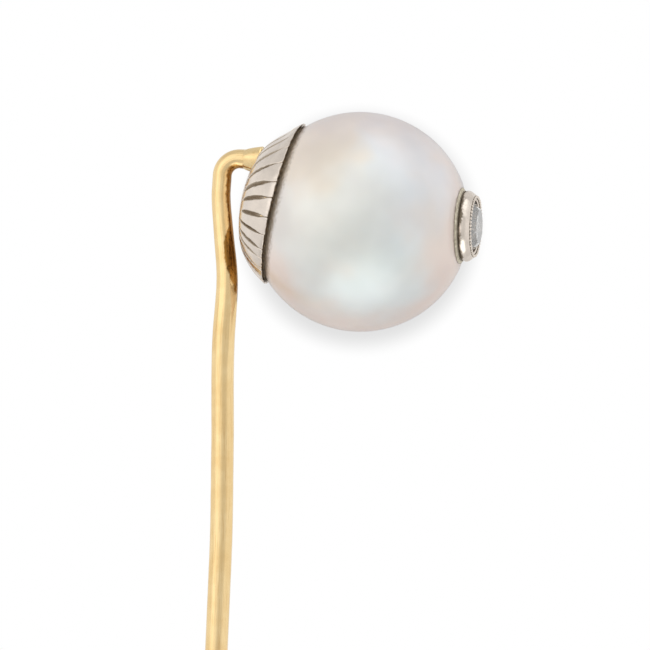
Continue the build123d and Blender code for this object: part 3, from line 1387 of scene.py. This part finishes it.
    def build(self) -> bpy.types.Object:
        """Lays a grid over the dome, round its rim and back inside, and presses the cuts in.

        Returns:
            The piece.
        """
        recipe = Recipe("fluted_cap")
        bench = recipe.bench
        cuts = recipe.asks("Cuts", self.cuts, "NodeSocketInt")
        columns = recipe.asks("Columns", self.cuts * self.columns + 1, "NodeSocketInt")
        rows = recipe.asks("Rows", self.rows, "NodeSocketInt")
        width = recipe.asks("Cut half width", self.cut_width)
        depth = recipe.asks("Cut depth", self.cut_depth)
        start = recipe.asks("Cut start", self.cut_start)
        grid = bench.add(
            "GeometryNodeMeshGrid",
            {"Size X": 1.0, "Size Y": 1.0, "Vertices X": columns, "Vertices Y": rows},
        )
        gx, gy, _ = bench.split(bench.out(bench.add("GeometryNodeInputPosition", {})))
        about = (gx + 0.5) * cuts + self.column_nudge
        share = gy + 0.5
        number = about.floor().modulo(cuts)
        radius = self.section(bench, share, 1, self.widest)
        radius = radius * share.ramp(0.0, 1e-4) * share.ramp(0.9999, 1.0, 1.0, 0.0)
        height = self.section(bench, share, 2, self.highest)
        angle, across = self.spread_out(bench, about, cuts, radius)
        begins = start + chance(bench, number, -self.cut_start_spread, self.cut_start_spread, 7)
        leaf = bench.curve(radius.ramp(begins, self.cut_end, 0.0, 1.0), self.leaf)
        leaf_width = leaf * width * chance(bench, number, 0.7, 1.15, 21)
        round_x, round_y = angle.cos(), angle.sin()
        rough = bench.noise(bench.join(round_x * 9.0, round_y * 9.0, share * 22.0), 1.6, 3.0, 0.6)
        ragged = leaf_width * rough.ramp(0.3, 0.7, 0.84, 1.14)
        press = (across / ragged.at_least(0.002)).rest().at_least(0.0)
        outside = share.ramp(self.outside_share + 0.01, self.edge_share, 1.0, 0.0)
        flat = bench.join(radius * round_x, radius * round_y, height)
        whole = bench.vector("LENGTH", flat, out="Value")
        spare = (whole - radius.ramp(3.20, 3.41, *self.least_wall)).at_least(0.0)
        sunk = (press.reckon("POWER", 0.8) * depth * leaf * outside).at_most(spare)
        scar = bench.noise(flat, 9.0, 2.0, 0.6).ramp(0.62, 0.75) * outside * self.scar_depth
        flattened = round_y.ramp(0.35, 1.0, smooth=True) * outside * self.flattening
        flattened = flattened * radius.ramp(2.0, 3.0) * radius.ramp(3.3, 3.58, 1.0, 0.3)
        left = (whole - sunk.at_least(flattened.at_most(spare)) - scar) / whole
        nick = press * share.ramp(self.outside_share - 0.10, self.outside_share, smooth=True)
        nick = nick * share.ramp(self.edge_share, self.edge_share + 0.08, 1.0, 0.0) * self.nick_depth
        panel = chance(bench, (about + (0.5 - self.column_nudge)).floor().modulo(cuts), 0.0, 1.0, 31)
        kept = (nick + self.rim_wear(bench, share, round_x, round_y, panel)).rest()
        x, y, z = bench.split(bench.vector("SCALE", flat, left))
        settled = bench.join(x * kept, y * kept, z + kept.rest() * self.rim_lift)
        carried = store(bench, bench.out(grid), Attribute.CUT, sunk / depth)
        carried = store(bench, carried, Attribute.PANEL, panel)
        laid = bench.add("GeometryNodeSetPosition", {"Geometry": carried, "Position": settled})
        merged = bench.add(
            "GeometryNodeMergeByDistance", {"Geometry": bench.out(laid), "Distance": 1e-4}
        )
        empty = bpy.data.meshes.new("cap_blank")
        piece = recipe.run("fluted_cap", bench.out(merged), empty, self.place())
        return hand_in(piece, Slot.WHITE_METAL, self.finish.material(), "cap_shell")

    def ragged(self, points: np.ndarray) -> np.ndarray:
        """Breaks up the front edge of the crevice's cement.

        Args:
            points: local points.

        Returns:
            The moved points.
        """
        angle = around(points)
        ripple = np.sin(9 * angle + 1) * 0.4 + np.sin(23 * angle) * 0.35 + np.sin(57 * angle) * 0.25
        front = points[:, 2] < 4.92 * math.cos(43.9 * RADIAN)
        moved = points.copy()
        moved[front] *= (1 + 0.0045 * ripple[front])[:, None]
        return moved

    def build_crevice_cement_and_shade(self) -> bpy.types.Object:
        """The old cement that shows down in the crevice between cap and pearl, dark enough to paint the
        crevice's shade too.

        Returns:
            The piece.
        """
        outline = [
            (reach * math.sin(math.radians(polar)), reach * math.cos(math.radians(polar)))
            for reach, polar in self.crevice
        ]
        piece = turned("crevice_cement_and_shade", outline, self.crevice_steps, self.place(), self.ragged)
        return hand_in(piece, Slot.CEMENT, self.grime.material(), "cap_cement")


@dataclass
class PearlBall:
    """The pearl, a little out of round, let in at the front for the collet."""

    seat_radius: float = 1.36
    seat_floor: float = 3.80
    seat_margin: float = 0.6
    sharp_edge: float = 50.0
    out_of_round: float = 0.006
    steps: int = 224
    rows: int = 150
    finish: Nacre = field(default_factory=lambda: Nacre("nacre"))

    def grown(self, points: np.ndarray) -> np.ndarray:
        """Grows the ball a little unevenly, except round the collet's seat.

        Args:
            points: local points.

        Returns:
            The moved points.
        """
        size = pearl_place()[1] / MM
        x, y, z = (points / size).T
        swell = 0.5 * np.sin(2.3 * z + 1.1 * y + 0.4) * np.cos(1.9 * x - 0.7)
        swell += 0.3 * np.sin(5.1 * y - 2.2 * z) * np.sin(4.3 * x + 1.0)
        seat = np.hypot(x, y) * size < self.seat_radius + self.seat_margin
        swell[seat & (z > 0)] = -1.0
        return points * (1 - self.out_of_round * (1 - swell) * 0.5)[:, None]

    def build(self) -> bpy.types.Object:
        """Turns the pearl about the collet's axis.

        Returns:
            The piece.
        """
        size = pearl_place()[1] / MM
        reach = math.acos(self.seat_radius / size) + math.pi / 2
        outline: list[Point2] = []
        for row in range(self.rows + 1):
            angle = reach * row / self.rows - math.pi / 2
            outline.append((max(size * math.cos(angle), 0.0), size * math.sin(angle)))
        outline += [(self.seat_radius, self.seat_floor), (0.0, self.seat_floor)]
        piece = turned("pearl_ball", outline, self.steps, front_place(), self.grown)
        sharpen(piece, self.sharp_edge)
        return hand_in(piece, Slot.PEARL, self.finish.material(), "pearl")


@dataclass
class Collet:
    """The platinum collet: a dished flange, a bulging wall, and a row of beads round its front.

    Heights are from the pearl's centre.
    """

    flange_inside: float = 1.32
    flange_radius: float = 1.51
    flange_under: float = 4.835
    flange_top: float = 4.62
    foot: Point2 = (1.47, 4.615)
    belly: Point2 = (1.545, 4.84)
    rim: Point2 = (1.36, 5.09)
    ledge: tuple[Point2, ...] = (
        (1.33, 5.105), (1.20, 5.10), (1.15, 5.06), (1.172, 5.02), (1.172, 4.83)
    )
    bow_steps: int = 18
    dented: tuple[float, float, float] = (4.72, 5.15, 0.1)
    beads: int = 52
    bead_radius: float = 0.067
    bead_ring: float = 1.285
    bead_height: float = 5.125
    # The low bead of cement, by distance from the pearl's centre and from the axis.
    cement: tuple[Point2, ...] = (
        (4.78, 1.30), (4.78, 1.67), (4.802, 1.64), (4.815, 1.60), (4.828, 1.56), (4.830, 1.53),
        (4.825, 1.51), (4.825, 1.30),
    )
    cement_edge: float = 1.58
    cement_under: float = 4.79
    steps: int = 200
    # Grime and painted shade towards the flange, and a darker ring on the ledge round the stone.
    finish: WhiteMetal = field(default_factory=lambda: WhiteMetal(
        "collet_platinum", groove=(4.74, 4.62), seat=(1.19, 1.335, 5.115)
    ))
    grime: OldCement = field(default_factory=lambda: OldCement(
        "bead_cement", light=(0.86, 0.79, 0.64), dark=(0.46, 0.40, 0.29)
    ))

    @staticmethod
    def on_ball(radius: float, across: float) -> Point2:
        """A point on a ball about the pearl's centre."""
        return across, math.sqrt(radius * radius - across * across)

    def hammered(self, points: np.ndarray) -> np.ndarray:
        """Leaves faint hammer marks round the wall.

        Args:
            points: local points.

        Returns:
            The moved points.
        """
        low, high, fade = self.dented
        angle = around(points)
        dent = 0.006 * np.sin(11 * angle + 0.8) + 0.004 * np.sin(19 * angle + 2.0) - 0.008
        height = points[:, 2]
        share = np.clip((height - low) / fade, 0, 1) * np.clip((high - height) / fade, 0, 1)
        moved = points.copy()
        moved[:, :2] *= (1 + dent * share)[:, None]
        return moved

    def wandering(self, points: np.ndarray) -> np.ndarray:
        """Lets the cement's edge wander, without sinking it into the pearl.

        Args:
            points: local points.

        Returns:
            The moved points.
        """
        angle = around(points)
        wave = 0.5 * np.sin(5 * angle + 0.5) + 0.3 * np.sin(13 * angle) + 0.2 * np.sin(31 * angle)
        edge = np.hypot(points[:, 0], points[:, 1]) > self.cement_edge
        moved = points.copy()
        moved[edge, :2] *= (1 + 0.008 * (wave[edge] - 1))[:, None]
        reach = np.hypot(moved[edge, 0], moved[edge, 1])
        moved[edge, 2] = np.maximum(moved[edge, 2], np.sqrt(self.cement_under**2 - reach**2))
        return moved

    def build_wall(self) -> bpy.types.Object:
        """Turns the bulging wall and its lip.

        Returns:
            The piece.
        """
        bow = curve_through(self.foot, self.belly, self.rim, self.bow_steps)
        back = self.ledge[-1][1]
        outline = [self.foot, *bow, *self.ledge, (self.flange_inside, back),
                   (self.flange_inside, self.flange_top)]
        piece = turned("collet_wall", outline, self.steps, front_place(), self.hammered)
        sharpen(piece, 55)
        return hand_in(piece, Slot.WHITE_METAL, self.finish.material(), "collet_bezel")

    def build_beads(self) -> bpy.types.Object:
        """Sets the row of beads on the front edge.

        Returns:
            The piece.
        """
        recipe = Recipe("bead_row")
        bench = recipe.bench
        count = recipe.asks("Beads", self.beads, "NodeSocketInt")
        ring = recipe.asks("Ring radius", self.bead_ring)
        size = recipe.asks("Bead radius", self.bead_radius)
        height = recipe.asks("Height", self.bead_height)
        circle = bench.add("GeometryNodeMeshCircle", {"Vertices": count, "Radius": ring})
        raised = bench.add(
            "GeometryNodeSetPosition",
            {"Geometry": bench.out(circle), "Offset": bench.join(0.0, 0.0, height)},
        )
        bead = bench.add("GeometryNodeMeshIcoSphere", {"Radius": size, "Subdivisions": 3})
        index = bench.out(bench.add("GeometryNodeInputIndex", {}))
        grown = chance(bench, index, 0.86, 1.06, 4)
        flat = bench.join(grown, grown, grown * 0.95)
        set_in = bench.add(
            "GeometryNodeInstanceOnPoints",
            {"Points": bench.out(raised), "Instance": bench.out(bead), "Scale": flat},
        )
        empty = bpy.data.meshes.new("bead_blank")
        piece = recipe.run("bead_row", bench.out(set_in), empty, front_place())
        return hand_in(piece, Slot.WHITE_METAL, self.finish.material())

    def build_flange(self) -> bpy.types.Object:
        """Turns the plate that lies on the pearl.

        Returns:
            The piece.
        """
        outer, inner, top = self.flange_radius, self.flange_inside, self.flange_top
        low_in = self.on_ball(self.flange_under, inner)
        low_out = self.on_ball(self.flange_under, outer)
        outline = [
            low_in, low_out, (outer + 0.012, low_out[1] + 0.03), (outer + 0.01, top - 0.03),
            (outer - 0.015, top - 0.002), (inner, top - 0.001),
        ]
        piece = turned("collet_flange_plate", outline, self.steps, front_place())
        sharpen(piece, 60)
        return hand_in(piece, Slot.WHITE_METAL, self.finish.material(), "collet_flange")

    def build_cement(self) -> bpy.types.Object:
        """Runs the low bead of old cement round the flange.

        Returns:
            The piece.
        """
        outline = [self.on_ball(radius, across) for radius, across in self.cement]
        piece = turned("cement_bead", outline, self.steps, front_place(), self.wandering)
        return hand_in(piece, Slot.CEMENT, self.grime.material(), "collet_cement")


@dataclass
class Stone:
    """The old single-cut diamond."""

    sides: int = 8
    girdle: float = 1.150
    table: float = 0.78
    culet: float = 0.08
    culet_height: float = 4.06
    girdle_height: float = 4.925
    girdle_top: float = 4.975
    table_height: float = 5.295
    finish: CutStone = field(default_factory=lambda: CutStone("old_diamond"))

    def build(self) -> bpy.types.Object:
        """Cuts table, crown, girdle and pavilion.

        Returns:
            The piece.
        """
        levels = (
            (self.table, self.table_height), (self.girdle, self.girdle_top),
            (self.girdle, self.girdle_height), (self.culet, self.culet_height),
        )
        points = []
        for radius, height in levels:
            for k in range(self.sides):
                angle = (k + 0.5) * 2 * math.pi / self.sides
                points.append((radius * math.cos(angle), radius * math.sin(angle), height))
        faces: list[tuple[int, ...]] = [tuple(range(self.sides))]
        for level in range(len(levels) - 1):
            for k in range(self.sides):
                a, b = level * self.sides + k, level * self.sides + (k + 1) % self.sides
                faces.append((a, b, b + self.sides, a + self.sides))
        last = (len(levels) - 1) * self.sides
        faces.append(tuple(range(last, last + self.sides)))
        mesh = bpy.data.meshes.new("diamond_stone")
        mesh.from_pydata(points, [], faces)
        piece = finished("diamond_stone", mesh, front_place())
        piece.data.shade_flat()
        return hand_in(piece, Slot.DIAMOND, self.finish.material(), "diamond")


@dataclass
class HiddenWork:
    """The solids that stay as they are: the lining, the pegs and the bearer."""

    gold_nodes: tuple[str, ...] = ("cap_lining", "cap_peg", "collet_peg")
    metal_nodes: tuple[str, ...] = ("collet_bearer",)

    def dress(self) -> None:
        """Gives each its finish."""
        gold = WornGold("plain_gold", drawn=False).material()
        metal = WhiteMetal("plain_platinum").material()
        for names, material in ((self.gold_nodes, gold), (self.metal_nodes, metal)):
            for name in names:
                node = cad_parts[name]
                for slot in node.material_slots:
                    slot.material = material
                LOG.info("%s: %s", name, material.name)


# ---------------------------------------------------------------------------------------------
# The studio
# ---------------------------------------------------------------------------------------------


@dataclass(frozen=True)
class Softbox:
    """A square light that faces the pearl."""

    name: str
    towards: tuple[float, float, float]
    distance: float
    size: float
    power: float

    def build(self, aim: Vector) -> None:
        """Sets the light up.

        Args:
            aim: what it faces, in metres.
        """
        data = bpy.data.lights.new(self.name, "AREA")
        data.shape = "SQUARE"
        data.size = self.size * MM
        data.energy = self.power
        lamp = bpy.data.objects.new(self.name, data)
        way = Vector(self.towards).normalized()
        lamp.location = aim + way * self.distance * MM
        lamp.rotation_euler = way.to_track_quat("Z", "Y").to_euler()
        bpy.context.scene.collection.objects.link(lamp)


@dataclass(frozen=True)
class Glow:
    """A brighter patch of the tent, by its direction."""

    towards: tuple[float, float, float]
    fades_at: float
    full_at: float
    strength: float
    colour: Colour


@dataclass
class Studio:
    """A pale floor, a white tent of light, a few soft lights and the camera."""

    azimuth: float = 12.0
    roll: float = 2.5
    lens: float = 300.0
    sensor: float = 36.0
    view_width: float = 28.37
    aim_from_pearl: tuple[float, float, float] = (-1.36, 0.0, -4.555)
    floor_size: float = 900.0
    floor_gap: float = 0.05
    tent_level: float = 0.90
    shade_drop: float = 0.35
    shade_core: float = 4.43
    shade_end: float = 5.65
    shade_level: float = 0.76
    glows: tuple[Glow, ...] = (
        Glow((0.144, -0.319, -0.937), 0.76, 0.995, 1.05, (0.95, 1.0, 0.985)),
        Glow((0.407, -0.180, 0.895), 0.76, 0.98, 0.42, (0.95, 0.99, 1.0)),
        Glow((-0.428, -0.825, 0.371), 0.66, 0.98, 0.42, (1.0, 0.985, 0.96)),
    )
    softboxes: tuple[Softbox, ...] = (
        Softbox("overhead", (0.25, -0.35, 0.90), 300.0, 260.0, 0.05),
    )

    def build(self) -> None:
        """Sets the whole studio up."""
        centre, _ = pearl_place()
        self.camera(centre)
        self.tent()
        self.floor()
        for softbox in self.softboxes:
            softbox.build(centre)
        bpy.context.scene.view_settings.view_transform = "Standard"

    def stand(self, centre: Vector) -> tuple[Vector, Vector]:
        """Where the camera stands.

        Args:
            centre: the pearl's centre.

        Returns:
            Its place, and the direction back to it.
        """
        turn = math.radians(self.azimuth)
        back = Vector((math.sin(turn), -math.cos(turn), 0.0))
        distance = self.view_width * self.lens / self.sensor * MM
        return centre + Vector(self.aim_from_pearl) * MM + back * distance, back

    def camera(self, centre: Vector) -> None:
        """Sets the camera level with the pin, turned a little towards the stone.

        Args:
            centre: the pearl's centre.
        """
        data = bpy.data.cameras.new("camera")
        data.lens = self.lens
        data.sensor_width = self.sensor
        data.clip_start = 0.01
        camera = bpy.data.objects.new("camera", data)
        bpy.context.scene.collection.objects.link(camera)
        place, back = self.stand(centre)
        facing = back.to_track_quat("Z", "Y").to_matrix().to_4x4()
        rolled = Matrix.Rotation(math.radians(self.roll), 4, "Z")
        camera.matrix_world = Matrix.Translation(place) @ facing @ rolled
        bpy.context.scene.camera = camera

    def mirrored(self, bench: Bench, way: Wire) -> Wire:
        """The uneven white tent that the metal and the pearl mirror.

        Args:
            bench: the world's tree.
            way: the direction.

        Returns:
            The light's colour.
        """
        x, y, z = bench.split(way)
        turn = math.radians(self.azimuth)
        front = (x * math.sin(turn)) + (y * -math.cos(turn))
        left = (x * -math.cos(turn)) + (y * -math.sin(turn))
        level = front.ramp(0.55, 0.88, 1.0, 0.80, smooth=True)
        level = level * left.ramp(-0.9, -0.5, 1.06, 1.0, smooth=True)
        level = level * left.ramp(0.5, 0.9, 1.0, 1.05, smooth=True)
        level = level * z.reckon("ABSOLUTE").ramp(0.15, 0.75, 1.0, 0.80, smooth=True)
        level = level * self.tent_level
        light = bench.join(level, level, level)
        for glow in self.glows:
            near = bench.vector("DOT_PRODUCT", way, glow.towards, out="Value")
            share = near.ramp(glow.fades_at, glow.full_at, 0.0, glow.strength, smooth=True)
            light = bench.vector("ADD", light, bench.vector("SCALE", glow.colour, share))
        return light

    def ground(self, bench: Bench, way: Wire) -> Wire:
        """The white ground behind the pin, with a soft shade round the pearl.

        Args:
            bench: the world's tree.
            way: the direction.

        Returns:
            The ground's colour.
        """
        centre, _ = pearl_place()
        stand, _ = self.stand(centre)
        sight = centre - Vector((0.0, 0.0, self.shade_drop)) * MM - stand
        off = bench.vector("SUBTRACT", way, tuple(sight.normalized()))
        off = bench.vector("LENGTH", off, out="Value") * (sight.length / MM)
        shade = off.ramp(self.shade_core, self.shade_end, self.shade_level, 1.0, smooth=True)
        return bench.join(shade, shade, shade)

    def tent(self) -> None:
        """Paints the surroundings: white to look at, and uneven for the metal to mirror."""
        world = bpy.data.worlds.new("tent")
        world.use_nodes = True
        bpy.context.scene.world = world
        bench = Bench(world.node_tree)
        way = bench.vector("NORMALIZE", bench.out(bench.add("ShaderNodeTexCoord", {}), "Generated"))
        seen = bench.out(bench.add("ShaderNodeLightPath", {}), "Is Camera Ray")
        shown = bench.blend(seen, self.mirrored(bench, way), self.ground(bench, way))
        background = world.node_tree.nodes["Background"]
        bench.tree.links.new(shown.socket, background.inputs["Color"])

    def floor(self) -> None:
        """Lays the pale floor under the point."""
        half = self.floor_size / 2 * MM
        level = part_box("stem")[0].z - self.floor_gap * MM
        corners = [(-half, -half), (half, -half), (half, half), (-half, half)]
        mesh = bpy.data.meshes.new("floor")
        mesh.from_pydata([(x, y, level) for x, y in corners], [], [(0, 1, 2, 3)])
        floor = bpy.data.objects.new("floor", mesh)
        bpy.context.scene.collection.objects.link(floor)
        mesh.materials.append(FloorPaper("floor_paper").material())
        floor.visible_glossy = False


def main() -> None:
    """Builds the pin and its studio."""
    logging.basicConfig(level=logging.INFO, format="%(message)s")
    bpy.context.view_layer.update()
    cap = FlutedCap()
    collet = Collet()
    steps: tuple[Callable[[], bpy.types.Object], ...] = (
        Stem().build, SolderJoint().build, cap.build, cap.build_crevice_cement_and_shade, PearlBall().build,
        collet.build_cement, collet.build_flange, collet.build_wall, collet.build_beads,
        Stone().build,
    )
    for step in steps:
        piece = step()
        LOG.info("made %s", piece.name)
    HiddenWork().dress()
    Studio().build()


if __name__ == "__main__":
    main()
